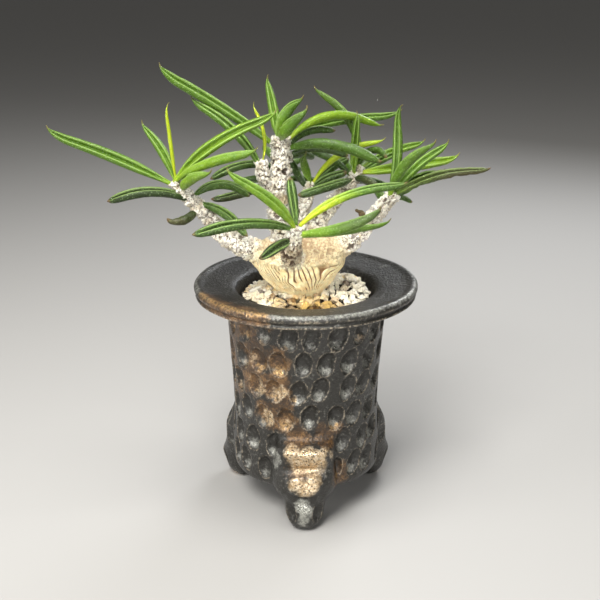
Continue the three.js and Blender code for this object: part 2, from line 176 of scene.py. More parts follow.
def grain_group():
    """The node group. Its scales and the share of cells that hold a fleck are inputs."""
    group = bpy.data.node_groups.new("grain", "ShaderNodeTree")
    group.interface.new_socket("Place", in_out="INPUT", socket_type="NodeSocketVector")
    for name in ("Patch Scale", "Fleck Scale", "Fleck Share"):
        group.interface.new_socket(name, in_out="INPUT", socket_type="NodeSocketFloat")
    for name in ("Patches", "Flecks", "Pits"):
        group.interface.new_socket(name, in_out="OUTPUT", socket_type="NodeSocketFloat")
    given = group.nodes.new("NodeGroupInput").outputs
    at_flecks = {"Vector": given["Place"], "Scale": given["Fleck Scale"]}
    patches = shade(group, "TexNoise", {
        "Vector": given["Place"], "Scale": given["Patch Scale"], "Detail": 5.0, "Roughness": 0.62})
    cells = shade(group, "TexVoronoi", at_flecks)
    uneven = shade(group, "TexNoise", {**at_flecks, "Detail": 2.0, "Roughness": 0.5})
    lot = shade(group, "SeparateColor", {"Color": cells.outputs["Color"]}).outputs["Red"]
    near = spread(cells.outputs["Distance"], 0.5, 0.2)
    wire(group.nodes.new("NodeGroupOutput"), {
        "Patches": patches.outputs["Fac"],
        "Flecks": times(reckon("LESS_THAN", lot, given["Fleck Share"]), near),
        "Pits": times(near, uneven.outputs["Fac"])})
    return group


GRAIN = grain_group()


def grain(tree, patch_scale, fleck_scale, fleck_share):
    """The grain placed in a material, on the piece's own Object coordinates."""
    return shade(tree, "Group", {
        "Place": shade(tree, "TexCoord").outputs["Object"], "Patch Scale": patch_scale,
        "Fleck Scale": fleck_scale, "Fleck Share": fleck_share}, node_tree=GRAIN).outputs


# The pot: thrown in dark stoneware, its collar folded over, its wall pressed all round with the thumb, and
# three feet pinched on, the front one with a brow and a nose. The charcoal glaze breaks to bronze, and silver
# highlights are painted on it.
# The profile runs from the underside up the wall, round the collar and down the inside: radius and height in
# millimetres, but height and radius for the wall.
WALL = [[16, 28.9], [27, 28.9], [38, 28.3], [49, 28.4], [60, 29.1], [71, 29.8], [82.4, 30.6]]
UNDERSIDE = [[5.5, 13], [14, 13], [22, 13], [26.4, 13.3], [28.2, 14.4]]
COLLAR = [[31.6, 83.1], [36, 83.3], [40, 83.5], [41.6, 83.9], [42.2, 84.4], [42.2, 85], [41.7, 85.5],
          [42, 86], [42.5, 86.6], [42.5, 87.5], [42.1, 88.4], [41.3, 89], [40.3, 89], [39.2, 88.5],
          [38, 88.1], [34, 87.6], [30, 87.1], [28.2, 86.8], [27.2, 86.5], [26.6, 85.9], [26.2, 85],
          [25.6, 83], [25.1, 80]]
INSIDE = [[25, 60], [24.9, 21.5], [24.3, 19], [22.8, 17.5], [21, 17], [12, 17], [5.5, 17]]
# A foot from the sole up: height, inner radius, outer radius, half width. The front foot has a brow over a
# nose and a pinched toe. The back feet run down the wall as plain buttresses.
FRONT_FOOT = [[0, 26.5, 32.6, 3.2], [0.8, 25.4, 34.2, 4.8], [2.4, 24.4, 35.3, 6], [5, 23.6, 36.2, 7],
              [8, 22.8, 36.6, 7.4], [10.8, 22.4, 36.2, 7.9], [12.4, 22.2, 35.6, 8.8],
              [13.6, 22.2, 35.7, 10.2], [15.4, 22.4, 36, 11.3], [17.6, 23, 36, 11.9],
              [20.2, 23.6, 35.6, 11.9], [22.8, 24, 34.8, 11.6], [25, 24.2, 33.8, 11.2],
              [26.6, 24.4, 33.8, 10.9], [28.8, 24.8, 34.4, 10.8], [31, 25, 34.9, 10.8],
              [32.6, 25, 34.4, 10.6], [33.8, 25, 32.4, 10.2], [35.2, 25, 28.6, 9.4]]
BACK_FOOT = [[0, 26.2, 30.6, 3.2], [0.8, 25.4, 32.4, 4.8], [2.4, 24.4, 34, 6.2], [5, 23.6, 35.6, 7.4],
             [8, 22.6, 36.9, 8], [10.6, 22.3, 37.2, 8.4], [12.6, 22.4, 36.5, 9], [14.8, 22.8, 35.4, 10],
             [19.7, 23.6, 33.9, 11.2], [24, 24.3, 33.3, 11.8], [28, 24.8, 32.3, 12], [32.5, 25, 30.5, 11.6],
             [37, 25, 28.1, 10.6]]
# The feet round the pot, each with its direction: one to the front, two behind.
FEET = [(FRONT_FOOT, -91), (BACK_FOOT, 26), (BACK_FOOT, 155)]
FOOT_RINGS, FOOT_SIDES = 48, 32
POT_STEPS, POT_VOXEL = 180, 0.63
# Rows of thumb marks: height of the middle, and how far the row is turned from the front, in degrees.
THUMB_ROWS = [[76, 5], [65.3, -2], [54.3, -6], [43.3, -15], [32.3, -26], [21.5, -34]]
# Each mark: degrees from one to the next, depth, half width, half height above its middle and below, and how
# far up or down it can still be felt. The wall's mean radius turns degrees into millimetres.
THUMB_STEP, THUMB_DEEP, THUMB_WIDE, THUMB_ABOVE, THUMB_BELOW, THUMB_REACH = 18, 2.2, 3.3, 4.7, 5.2, 9
WALL_RADIUS = 28.6
# The grit hides the wall's inside between these heights, within this radius.
HIDDEN_FOOT, HIDDEN_TOP, HIDDEN_RADIUS = 22.5, 76, 26.5
# The front foot's own modelling, from its middle line: across, height, reach across, reach up, push out.
NOSE = [(0, 25.6, 8, 1.2, -0.8), (0, 15.2, 3.6, 0.9, -0.5), (6.4, 13.6, 1, 1.9, -0.8),
        (-7.4, 13.6, 1, 1.9, -0.8), (8, 23, 1.3, 6, 0.5), (-8, 23, 1.3, 6, 0.5), (0, 32.6, 8.5, 1.1, 0.6)]
# Every toe is pinched at both sides: out from the axis, to the side, height; then the pinch's reach and core.
TOE_PINCH, PINCH_REACH, PINCH_CORE = (35.2, 6.4, 7.6), 3.6, 1.5
# Where the glaze broke to bronze, where it ran thin and gold, where a silver highlight is painted on the toe
# and on the front foot's left flank, and where the clay is bare: place in millimetres, reach, strength.
BRONZE = [
    (-22, -19, 77, 6.5, 1), (-13.5, -25.6, 80, 3.6, 0.8), (-19, -22, 66, 8.5, 1.1), (-10.4, -27, 67, 6, 1.1),
    (-21, -20, 56, 7, 1.1), (-12, -26.4, 56, 7.4, 1.2), (-8.6, -27.8, 50, 5.4, 1.1), (-14, -25.4, 44, 7, 1.1),
    (-8, -28, 42, 5.6, 1.1), (-3, -29, 36.4, 6, 0.9), (7, -28.6, 36.4, 6, 0.9), (13, -26.6, 38, 4, 0.8),
    (13.4, -28, 20, 6, 1.1), (-24.6, -34.6, 88, 9, 1.2), (-32, -28, 88, 7, 1), (-17.5, -38.7, 87, 6, 0.9),
    (-37, -20, 88, 7, 0.7), (-27, -11, 48, 7, 0.7), (-27.5, -8, 61, 7, 0.9), (-27, -10, 73, 9, 0.9),
    (-1, -36, 28, 9, 0.7), (26, 14, 56, 12, 0.9), (-4, 30, 36, 12, 0.9), (20, -22, 74, 3, 0.5),
]
GOLD = [
    (0.5, -34, 32.6, 3.6, 1.2), (5.5, -33.6, 32.2, 3.4, 1.1), (-5, -33.2, 32.6, 3.4, 1.1),
    (9.6, -31.6, 31, 2.6, 0.7), (3, -35, 28.2, 5.6, 1.4), (-2.6, -35, 28.6, 5, 1.3),
    (-3.2, -36.8, 21.2, 3.8, 0.95), (0, -37.4, 19.6, 4.2, 1), (3, -36.8, 21.2, 3.6, 0.9),
    (-10.2, -27.2, 53.5, 3.6, 1.45), (-17.4, -23.2, 53.6, 3.4, 1.35), (-15.4, -24.6, 42.4, 3.4, 1.4),
    (-7, -28.2, 41.4, 2.6, 0.9), (-19, -22, 65, 2.2, 0.6),
]
PAINTED_HIGHLIGHT_SPOTS = [
    (-0.6, -36.6, 10.4, 3.8, 1.15), (-0.4, -36.6, 6, 2.8, 0.85), (-10.6, -30.4, 29.5, 2.6, 1),
    (-12, -29.4, 26.6, 2.4, 0.8),
]
BARE_CLAY = [
    (-28.7, 12, 0, 4.6, 1), (28.4, 14.5, 0, 4.6, 1),
]


def smooth_read(rows, station, column=1):
    """A value between the rows of a table, on a smooth curve through them."""
    if station <= rows[0][0]:
        return rows[0][column]
    if station >= rows[-1][0]:
        return rows[-1][column]
    i = max(k for k in range(len(rows) - 1) if rows[k][0] <= station)
    here, there = rows[i], rows[i + 1]
    before, after = rows[max(i - 1, 0)], rows[min(i + 2, len(rows) - 1)]
    reach = there[0] - here[0]
    leave = (there[column] - before[column]) / (there[0] - before[0]) * reach
    arrive = (after[column] - here[column]) / (after[0] - here[0]) * reach
    t = (station - here[0]) / reach
    return (here[column] * (2 * t ** 3 - 3 * t ** 2 + 1) + leave * (t ** 3 - 2 * t ** 2 + t)
            + there[column] * (3 * t ** 2 - 2 * t ** 3) + arrive * (t ** 3 - t ** 2))


def in_mm(point):
    """A point of the frame in millimetres from the pot's axis."""
    return (point - POT_AXIS) * 1000


def between(turn, other):
    """How far round the axis one direction lies from another, from -180 to 180 degrees."""
    return (turn - other + 180) % 360 - 180


def turned_by(degrees):
    """A turn round the upright axis."""
    return Matrix.Rotation(math.radians(degrees), 3, "Z")


def soft_step(low, high, value):
    """0 below low and 1 above high, eased between."""
    t = min(1.0, max(0.0, (value - low) / (high - low)))
    return t * t * (3 - 2 * t)


def turned(shape, profile, steps, closed):
    """Turns a profile of radii and heights, open or closed, round the pot's axis."""
    outline = [shape.verts.new(spot(r, 0, z)) for r, z in profile]
    ends = outline[1:] + outline[:1] if closed else outline[1:]
    edges = [shape.edges.new(pair) for pair in zip(outline, ends)]
    bmesh.ops.spin(shape, geom=outline + edges, cent=POT_AXIS, axis=(0, 0, 1), angle=math.tau, steps=steps,
                   use_merge=True)


def ring(shape, points, below=None):
    """Adds a ring of vertices at these points and bridges it to the ring below."""
    circle = bmesh.ops.create_circle(shape, segments=len(points), radius=1)["verts"]
    for vert, point in zip(circle, points):
        vert.co = point
    edges = list({edge for vert in circle for edge in vert.link_edges})
    if below:
        bmesh.ops.bridge_loops(shape, edges=below + edges)
    return edges


def loft(shape, rings):
    """A closed body through rings of points, capped at both ends."""
    below = first = ring(shape, rings[0])
    for points in rings[1:]:
        below = ring(shape, points, below)
    for end in (first, below):
        bmesh.ops.contextual_create(shape, geom=end)


def placed_piece(name, shape, finish):
    """The finished bmesh as a smooth-shaded piece of the plant or pot that rides on the whole object."""
    piece = made_up(name, shape, finish)
    piece.data.shade_smooth()
    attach(piece, "root")
    return piece


def fused(shape, voxel):
    """A bmesh of overlapping bodies made one skin, with faces about one voxel wide."""
    bmesh.ops.recalc_face_normals(shape, faces=shape.faces)
    rough = bpy.data.meshes.new("rough")
    shape.to_mesh(rough)
    shape.free()
    holder = set_out("rough", rough)
    remesh = holder.modifiers.new("skin", "REMESH")
    remesh.mode = "VOXEL"
    remesh.voxel_size = voxel / 1000
    skin = bpy.data.meshes.new_from_object(holder.evaluated_get(bpy.context.evaluated_depsgraph_get()))
    bpy.data.objects.remove(holder)
    bpy.data.meshes.remove(rough)
    fresh = bmesh.new()
    fresh.from_mesh(skin)
    bpy.data.meshes.remove(skin)
    return fresh


def smoothed(shape, rounds, chosen=None):
    """Relaxes the chosen vertices, or all of them."""
    for _ in range(rounds):
        bmesh.ops.smooth_vert(shape, verts=chosen or shape.verts, factor=0.5,
                              use_axis_x=True, use_axis_y=True, use_axis_z=True)


def thumb_mark(turn, z):
    """How deep a thumb mark is at a place on the wall, 0 to 1, how high up in the mark it is, -1 to 1, and
    how far inside the mark's edge it lies, 1 in the middle and 0 on the edge."""
    deepest, rise, inside = 0.0, 0.0, -1.0
    lean = math.radians(9 + 20 * math.sin(math.radians(turn + 90)))
    for row, (middle, shift) in enumerate(THUMB_ROWS):
        if abs(z - middle) > THUMB_REACH:
            continue
        nearest = round((turn + 90 - shift) / THUMB_STEP)
        for column in (nearest - 1, nearest, nearest + 1):
            stray = noise.noise_vector(Vector((row * 7.3, (column % 20) * 3.1, 2.0)))
            middle_turn = -90 + shift + THUMB_STEP * column + 5 * stray.x
            across = math.radians(between(turn, middle_turn)) * WALL_RADIUS
            up = z - middle - 2 * stray.y
            wide = across * math.cos(lean) - up * math.sin(lean)
            high = across * math.sin(lean) + up * math.cos(lean) - 0.4
            out = (wide / (THUMB_WIDE + 0.6 * stray.z)) ** 2
            out += (high / (THUMB_ABOVE if high > 0 else THUMB_BELOW)) ** 2
            out += 0.3 * noise.noise(Vector((turn * 0.13, z * 0.25, 4.0 + column)))
            inside = max(inside, 1 - out)
            if out < 1:
                depth = (1 - out) ** 0.58 * (0.95 + 0.3 * stray.z)
                if depth > deepest:
                    deepest, rise = depth, max(-1, min(1, (high + 0.9) / 3.6))
    return deepest, rise, inside


def nearness(places, point):
    """The strongest of these patches at a point, with an uneven edge."""
    stray = 1.6 * noise.noise(point * 0.3) + 0.9 * noise.noise(point * 0.9)
    return max(strength * soft_step(reach * 1.35, reach * 0.35, (point - Vector(place)).length + stray)
               for *place, reach, strength in places)


thrown = bmesh.new()
wall = [[smooth_read(WALL, z), z] for z in range(16, 83, 3)]
outline = UNDERSIDE + wall + COLLAR + INSIDE
turned(thrown, outline, POT_STEPS, True)
for rows, turn in FEET:
    rings = []
    for step in range(FOOT_RINGS + 1):
        z = rows[-1][0] * step / FOOT_RINGS
        inner, outer, half = (smooth_read(rows, z, column) for column in (1, 2, 3))
        points = []
        for k in range(FOOT_SIDES):
            angle = math.tau * k / FOOT_SIDES
            out, across = (math.copysign(abs(n) ** 0.75, n) for n in (math.cos(angle), math.sin(angle)))
            radial = (inner + outer) / 2 + out * (outer - inner) / 2
            side = across * half * (1 - 0.26 * math.cos(angle))
            points.append(POT_AXIS + turned_by(turn) @ Vector((radial, side, z)) / 1000)
        rings.append(points)
    loft(thrown, rings)
pot_skin = fused(thrown, POT_VOXEL)
smoothed(pot_skin, 2)
# Under the grit the wall's inside is plain: a straight band between two cuts.
for cut in (HIDDEN_FOOT, HIDDEN_TOP):
    lining = [face for face in pot_skin.faces if in_mm(face.calc_center_median()).xy.length < HIDDEN_RADIUS]
    cut_edges = {edge for face in lining for edge in face.edges}
    cut_verts = {vert for face in lining for vert in face.verts}
    bmesh.ops.bisect_plane(pot_skin, geom=lining + list(cut_edges) + list(cut_verts), dist=1e-6,
                           plane_co=spot(0, 0, cut), plane_no=(0, 0, 1))
band = []
for face in pot_skin.faces:
    middle = in_mm(face.calc_center_median())
    if middle.xy.length < HIDDEN_RADIUS and HIDDEN_FOOT < middle.z < HIDDEN_TOP:
        band.append(face)
bmesh.ops.delete(pot_skin, geom=band, context="FACES")
bmesh.ops.bridge_loops(pot_skin, edges=[edge for edge in pot_skin.edges if edge.is_boundary])
# The clay is stroked smooth where the feet join the wall.
joins = []
for vert in pot_skin.verts:
    place = in_mm(vert.co)
    turn = math.degrees(math.atan2(place.y, place.x))
    off = min(abs(between(turn, foot)) for _, foot in FEET)
    if 13.5 < place.z < 41 and 9 < off < 36 and place.xy.length > 26:
        joins.append(vert)
smoothed(pot_skin, 9, joins)
pot_glaze_and_light = pot_skin.verts.layers.float_color.new("glaze")
pot_pressed = pot_skin.verts.layers.float.new("pressed")
for vert in pot_skin.verts:
    place = in_mm(vert.co)
    radius = place.xy.length
    outward = Vector((place.x, place.y, 0)).normalized()
    turn = math.degrees(math.atan2(place.y, place.x))
    from_front = between(turn, FEET[0][1])
    mark, rise, inside = 0.0, 0.0, -1.0
    if radius > 26.8 and 13.5 < place.z < 82.4:
        mark, rise, inside = thumb_mark(turn, place.z)
        on_wall = soft_step(13.5, 17, place.z) * (1 - soft_step(33, 36, radius))
        on_wall *= 1 - soft_step(25, 18, abs(from_front)) * soft_step(38.6, 36, place.z)
        mark *= on_wall
        inside -= 1 - on_wall
    push = -THUMB_DEEP * mark + 0.3 * noise.noise(place * 0.09) + 0.07 * noise.noise(place * 0.5)
    # The groove round the collar's edge, where the clay is folded over.
    if radius > 40 and 83 < place.z < 89:
        push -= 0.7 * math.exp(-((place.z - 85.5) / 0.6) ** 2)
    if radius > 31 and abs(from_front) < 30 and place.z < 36:
        side = math.radians(from_front) * radius
        push += sum(out * math.exp(-((side - across) / wide) ** 2 - ((place.z - high) / tall) ** 2)
                    for across, high, wide, tall, out in NOSE)
        nose = (side / 6.8) ** 2 + ((place.z - 21) / (3.2 if place.z > 21 else 5.2)) ** 2
        push += 1.7 * soft_step(1.35, 0.5, nose)
    # The soles stay flat.
    place += outward * push * (1 if place.z > 1 else place.z)
    for _, foot in FEET:
        out, aside, high = TOE_PINCH
        local = turned_by(-foot) @ place
        for side in (-1, 1):
            gap = local - Vector((out, aside * side, high))
            gap.z *= 0.62
            if gap.length < PINCH_REACH:
                pinch = soft_step(PINCH_REACH, PINCH_CORE, gap.length)
                place += turned_by(foot) @ Vector((-1.1, -1.5 * side, 0)) * pinch
    vert.co = POT_AXIS + place / 1000
    # Painted shade at the top of a mark, and a painted silver highlight at its foot, on the highlight spots
    # and along the collar's top edge.
    tone = 0.5 - 0.5 * min(1, 1.4 * mark) * min(rise, 1.25 * rise + 0.35)
    tone = max(tone, 0.5 + 0.5 * nearness(PAINTED_HIGHLIGHT_SPOTS, place),
               0.5 + 0.24 * soft_step(40.2, 41.2, radius) * soft_step(87.4, 88.2, place.z))
    vert[pot_glaze_and_light] = (tone, nearness(BRONZE, place), nearness(GOLD, place), nearness(BARE_CLAY, place))
    vert[pot_pressed] = 0.5 + 0.5 * max(-1, inside)
# Ridges and folds, read from how far each vertex stands out from its neighbours: 0.5 is flat.
pot_skin.normal_update()
pot_folds = pot_skin.verts.layers.float.new("folds")
for vert in pot_skin.verts:
    around = [edge.other_vert(vert).co for edge in vert.link_edges]
    middle = sum(around, Vector()) / len(around)
    vert[pot_folds] = (vert.co - middle).dot(vert.normal) * 1000
settled = [sum(edge.other_vert(vert)[pot_folds] for edge in vert.link_edges) / len(vert.link_edges)
           for vert in pot_skin.verts]
for vert, value in zip(pot_skin.verts, settled):
    vert[pot_folds] = min(1, max(0, 0.5 + 6 * (value + vert[pot_folds]) / 2))


def blended(share, under, over, blend="MIX"):
    """The colour `under` with `over` laid on it by a share. Each is a socket, or its red, green and blue."""
    under, over = ((*tint, 1) if isinstance(tint, tuple) else tint for tint in (under, over))
    return shade(share.id_data, "Mix", {0: share, 6: under, 7: over}, data_type="RGBA",
                 blend_type=blend).outputs[2]


def painted(tree, name):
    """Red, green, blue and alpha of what was laid on a piece's vertices under this name."""
    laid = shade(tree, "Attribute", attribute_name=name).outputs
    parts = shade(tree, "SeparateColor", {"Color": laid["Color"]}).outputs
    return parts["Red"], parts["Green"], parts["Blue"], laid["Alpha"]


def relief(height, strength, distance):
    """The normal of a fine relief of this height."""
    return shade(height.id_data, "Bump", {
        "Height": height, "Strength": strength, "Distance": distance}).outputs["Normal"]


CHARCOAL, PAINTED_SILVER_HIGHLIGHT, SHADOWED = (0.0165, 0.015, 0.0118), (0.5, 0.5, 0.45), (0.012, 0.01, 0.009)
DARK_BRONZE, WARM_BRONZE, PAINTED_BRONZE_HIGHLIGHT = (0.046, 0.025, 0.011), (0.17, 0.09, 0.034), (0.6, 0.39, 0.17)
DULL_GOLD, PALE_GOLD = (0.6, 0.42, 0.23), (0.86, 0.7, 0.49)
WORN_EDGE, PINHOLE, SOLE_CLAY = (0.5, 0.42, 0.31), (0.016, 0.012, 0.01), (0.68, 0.53, 0.36)
charcoal_glaze, tree, surface = new_finish("charcoal_glaze", {
    "Specular IOR Level": 0.45, "Coat Weight": 0.38, "Coat Roughness": 0.15})
tone, bronzed, gilded, bared = painted(tree, "glaze")
folds = shade(tree, "Attribute", attribute_name="folds").outputs["Fac"]
pressed = shade(tree, "Attribute", attribute_name="pressed").outputs["Fac"]
cloud = grain(tree, 150, 1000, 0.75)
fine = grain(tree, 850, 2200, 0.5)
unrest = plus(times(cloud["Patches"], 0.45), times(fine["Patches"], 0.85))
unrest = minus(unrest, 0.65)
# Where the tone is high it paints a highlight, silver on the charcoal and bright bronze on the bronze; where
# it is low, painted shade.
painted_highlight = spread(plus(tone, unrest), 0.52, 1.1)
rust = spread(plus(bronzed, unrest), 0.22, 0.9)
gilt = spread(plus(gilded, unrest), 0.15, 1.3)
clay = spread(plus(bared, unrest), 0.3, 0.5)
bronze = blended(spread(plus(cloud["Patches"], unrest), 0.3, 0.75), DARK_BRONZE, WARM_BRONZE)
bronze = blended(painted_highlight, bronze, PAINTED_BRONZE_HIGHLIGHT)
gold = blended(spread(fine["Patches"], 0.4, 0.62), DULL_GOLD, PALE_GOLD)
colour = blended(painted_highlight, CHARCOAL, PAINTED_SILVER_HIGHLIGHT)
colour = blended(rust, colour, bronze)
colour = blended(gilt, colour, gold)
colour = blended(times(spread(tone, 0.34, 0.02), 0.6), colour, SHADOWED)
# Thin pale lines where the glaze drew back from the marks' edges and from the sharpest folds.
edge = spread(reckon("ABSOLUTE", minus(pressed, 0.5)), 0.075, 0.02)
edge = times(edge, spread(cloud["Patches"], 0.52, 0.72))
worn = reckon("MAXIMUM", times(edge, 0.3), spread(folds, 0.74, 1.0))
worn = times(worn, spread(fine["Patches"], 0.4, 0.64, 0, 0.55))
colour = blended(worn, colour, WORN_EDGE)
# Pinholes, only where the glaze is bronze or gold or carries the painted highlight.
shown = reckon("MAXIMUM", times(painted_highlight, 0.8), reckon("MAXIMUM", gilt, times(rust, 0.7)), True)
specks = reckon("MAXIMUM", cloud["Flecks"], times(fine["Flecks"], 0.8))
colour = blended(times(specks, times(shown, 0.9)), colour, PINHOLE)
colour = blended(clay, colour, SOLE_CLAY)
bright = reckon("MAXIMUM", painted_highlight, times(gilt, 0.8))
metal = times(spread(bright, 0, 1, 0.2, 0.82), minus(1.0, clay))
rough = spread(plus(bright, times(fine["Patches"], 0.5)), 0.1, 1.4, 0.46, 0.22)
height = plus(times(cloud["Patches"], 0.6), times(fine["Patches"], 0.7))
normal = relief(minus(height, times(cloud["Pits"], 0.3)), 0.85, 0.0006)
wire(surface, {"Base Color": colour, "Metallic": metal, "Roughness": plus(rough, times(clay, 0.4)),
               "Normal": normal, "Coat Normal": normal})

pot = placed_piece("pot_body", pot_skin, charcoal_glaze)
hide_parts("pot")

# The net over the drain hole: a stamped disc of black plastic mesh, laid on the pot's floor under the grit.
# The CAD solid has its true shape and only takes its finish here.
netting, tree, surface = new_finish("black_plastic_net", {"Base Color": (0.012, 0.013, 0.014, 1)})
scuffs = grain(tree, 400, 1500, 0.3)["Patches"]
wire(surface, {"Roughness": spread(scuffs, 0.3, 0.7, 0.4, 0.62), "Normal": relief(scuffs, 0.3, 0.0001)})
for net_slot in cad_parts["drain_net"].material_slots:
    net_slot.link = "OBJECT"
    net_slot.material = netting

# The grit: pumice and baked clay, poured round the root. A filled body takes the pot's inside, and the stones
# of the top layer lie on it: worn blocks of 3 to 6 mm, and crumbs between them.
# Its surface: height at the rim, mound in the middle, radius. The heap at the right: place, height, reach.
GRIT_EDGE, GRIT_MOUND, GRIT_RADIUS = 83.2, 2.6, 24.6
HEAP = [17, 10, 2.6, 9]
# The filled body's outline, as radius and height. Its top is then laid a little under the grit's surface.
FILL_TOP, FILL_SUNK = 90, 3.8
FILL = [[0, 18.8], [9.4, 18.8], [9.4, 17.4], [21.4, 17.4], [24.1, 20.2], [24.4, 50], [24.4, 82]]
FILL += [[24.3 - 0.9 * k, FILL_TOP] for k in range(27)] + [[0, FILL_TOP]]
# Stones by size: how many, half size, how far out they may lie. They start this far from the axis, and few
# are left where the caudex stands.
STONES = [[18, 2.8, 21.2], [52, 2.1, 22], [84, 1.5, 22.8], [90, 1.05, 23.3], [80, 0.7, 23.8]]
STONES_FROM, CAUDEX_REACH = 7.5, 11.6
STONE_TRIES, STONE_CLOSE = 30, 0.93


def grit_height(x, y):
    """Height of the grit's surface, highest in the middle and in the heap at the right."""
    out = math.hypot(x, y) / GRIT_RADIUS
    away = math.hypot(x - HEAP[0], y - HEAP[1]) / HEAP[3]
    return GRIT_EDGE + GRIT_MOUND * (1 - out * out) + HEAP[2] * math.exp(-away * away)


grit_shape = bmesh.new()
turned(grit_shape, FILL, 96, False)
bmesh.ops.remove_doubles(grit_shape, verts=grit_shape.verts, dist=1e-6)
bmesh.ops.recalc_face_normals(grit_shape, faces=grit_shape.faces)
# Laid on each vertex: whether it is a stone's, the stone's kind, how much straw-coloured dust lies on it.
grit_tone = grit_shape.verts.layers.float_color.new("grain_tone")
for vert in grit_shape.verts:
    place = in_mm(vert.co)
    if place.z > FILL_TOP - 1:
        crumb = 0.9 * noise.noise(place * 0.55) + 0.5 * noise.noise(place * 1.7)
        vert.co = spot(place.x, place.y, grit_height(place.x, place.y) - FILL_SUNK + crumb)
    vert[grit_tone] = (0, 0.5, 0, 1)
dice = random.Random(8)
laid_stones = []
for count, size, reach in STONES:
    for _ in range(count):
        for _ in range(STONE_TRIES):
            out = STONES_FROM + (reach - STONES_FROM) * math.sqrt(dice.random())
            turn = dice.uniform(0, math.tau)
            x, y = out * math.cos(turn), out * math.sin(turn)
            if all(math.hypot(x - a, y - b) > STONE_CLOSE * (size + c) for a, b, c in laid_stones):
                break
        else:
            continue
        if math.hypot(x + 2, y) < CAUDEX_REACH and dice.random() < 0.55:
            continue
        if x > 9 and size > 1.6:
            size *= 0.8
        laid_stones.append((x, y, size))
        made = bmesh.ops.create_cube(grit_shape, size=1.7)["verts"]
        sides = list({edge for vert in made for edge in vert.link_edges})
        worn = bmesh.ops.bevel(grit_shape, geom=made + sides, offset=dice.uniform(0.12, 0.28),
                               offset_type="OFFSET", segments=1 if size < 1 else 2, profile=0.5,
                               affect="EDGES", material=-1)["verts"]
        stretch = (dice.uniform(0.85, 1.35), dice.uniform(0.75, 1.05), dice.uniform(0.6, 0.9))
        tilt = Matrix.Rotation(dice.uniform(0, 6.3), 3, "Z")
        tilt = tilt @ Matrix.Rotation(dice.uniform(-0.8, 0.8), 3, "X")
        tilt = tilt @ Matrix.Rotation(dice.uniform(-0.6, 0.6), 3, "Y") @ Matrix.Diagonal(stretch)
        rise = grit_height(x, y) - 0.75 * size + dice.uniform(-0.4, 0.8)
        tone = dice.random() if x < 7 or dice.random() < 0.3 else dice.choice((0.3, 0.35, 0.75))
        straw = soft_step(17, 7, math.hypot(x - 3, y + 19)) * dice.uniform(0.5, 1)
        for vert in worn:
            seed = vert.co * 0.9 + Vector((len(laid_stones) * 3.7, 0, 0))
            lump = tilt @ (vert.co * (1 + 0.3 * noise.noise(seed) + 0.15 * noise.noise(seed * 2.3))) * size
            vert.co = spot(x + lump.x, y + lump.y, rise + lump.z)
            vert[grit_tone] = (1, tone, straw, 1)


def ramp(share, stops, interpolation="LINEAR"):
    """A colour read off a row of stops, each with its station and its tint."""
    made = shade(share.id_data, "ValToRGB", {"Fac": share})
    made.color_ramp.interpolation = interpolation
    for k, (station, tint) in enumerate(stops):
        stop = made.color_ramp.elements[k] if k < 2 else made.color_ramp.elements.new(station)
        stop.position = station
        stop.color = (*tint, 1)
    return made.outputs["Color"]


# Five kinds of pumice, then dark and red-brown baked clay.
KINDS = [(0, (0.84, 0.74, 0.52)), (0.26, (0.92, 0.85, 0.68)), (0.46, (0.84, 0.63, 0.3)),
         (0.58, (0.6, 0.48, 0.32)), (0.72, (0.93, 0.88, 0.76)), (0.82, (0.13, 0.08, 0.045)),
         (0.91, (0.42, 0.27, 0.12))]
PALE_DUST, STRAW_DUST = (0.97, 0.93, 0.82), (0.6, 0.42, 0.15)
PORE, PAINTED_GAP_SHADE = (0.2, 0.13, 0.07), (0.05, 0.034, 0.022)
pumice, tree, surface = new_finish("pumice_and_clay", {"Roughness": 0.92, "Specular IOR Level": 0.25})
on_stone, kind, straw, _ = painted(tree, "grain_tone")
pores = grain(tree, 500, 1500, 0.4)
colour = blended(spread(pores["Patches"], 0.35, 0.7, 0, 0.45), ramp(kind, KINDS, "CONSTANT"), PALE_DUST)
colour = blended(straw, colour, STRAW_DUST, "MULTIPLY")
colour = blended(times(pores["Flecks"], 0.6), colour, PORE)
# Between the stones the filled body is dark: painted shade of the deep gaps.
colour = blended(on_stone, PAINTED_GAP_SHADE, colour)
height = minus(pores["Patches"], times(pores["Pits"], 0.8))
wire(surface, {"Base Color": colour, "Normal": relief(height, 1.0, 0.0008)})

grit = placed_piece("grit_grains", grit_shape, pumice)
grit.data.shade_flat()
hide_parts("grit")

# The caudex: the swollen, corky stem base on its buried root, with the bare lower part of every arm.
# The arms carry the knobs that old leaves have left, white on top and dark between, partly in the bark's
# own brown and partly as painted shade. The rings below go up the caudex: height, place across and back,
# half width, half depth.
CAUDEX = [[50, 0, 0, 1.6, 1.6], [62, 0, 0, 3.4, 3.2], [74, -0.3, 0, 5.2, 5], [83, -1.5, 0, 7.6, 7.2],
          [87, -2.2, -0.2, 10.9, 10], [91, -2.6, -0.4, 14.1, 12.6], [95, -2.8, -0.6, 16.7, 14.3],
          [99, -2.7, -0.6, 17.9, 15], [102.4, -2.1, 0, 15.7, 13.4], [105, -1.4, 0.6, 11.4, 9.6],
          [106.4, -1.2, 1, 5.6, 4.6]]
CAUDEX_RINGS, CAUDEX_SIDES = 57, 48
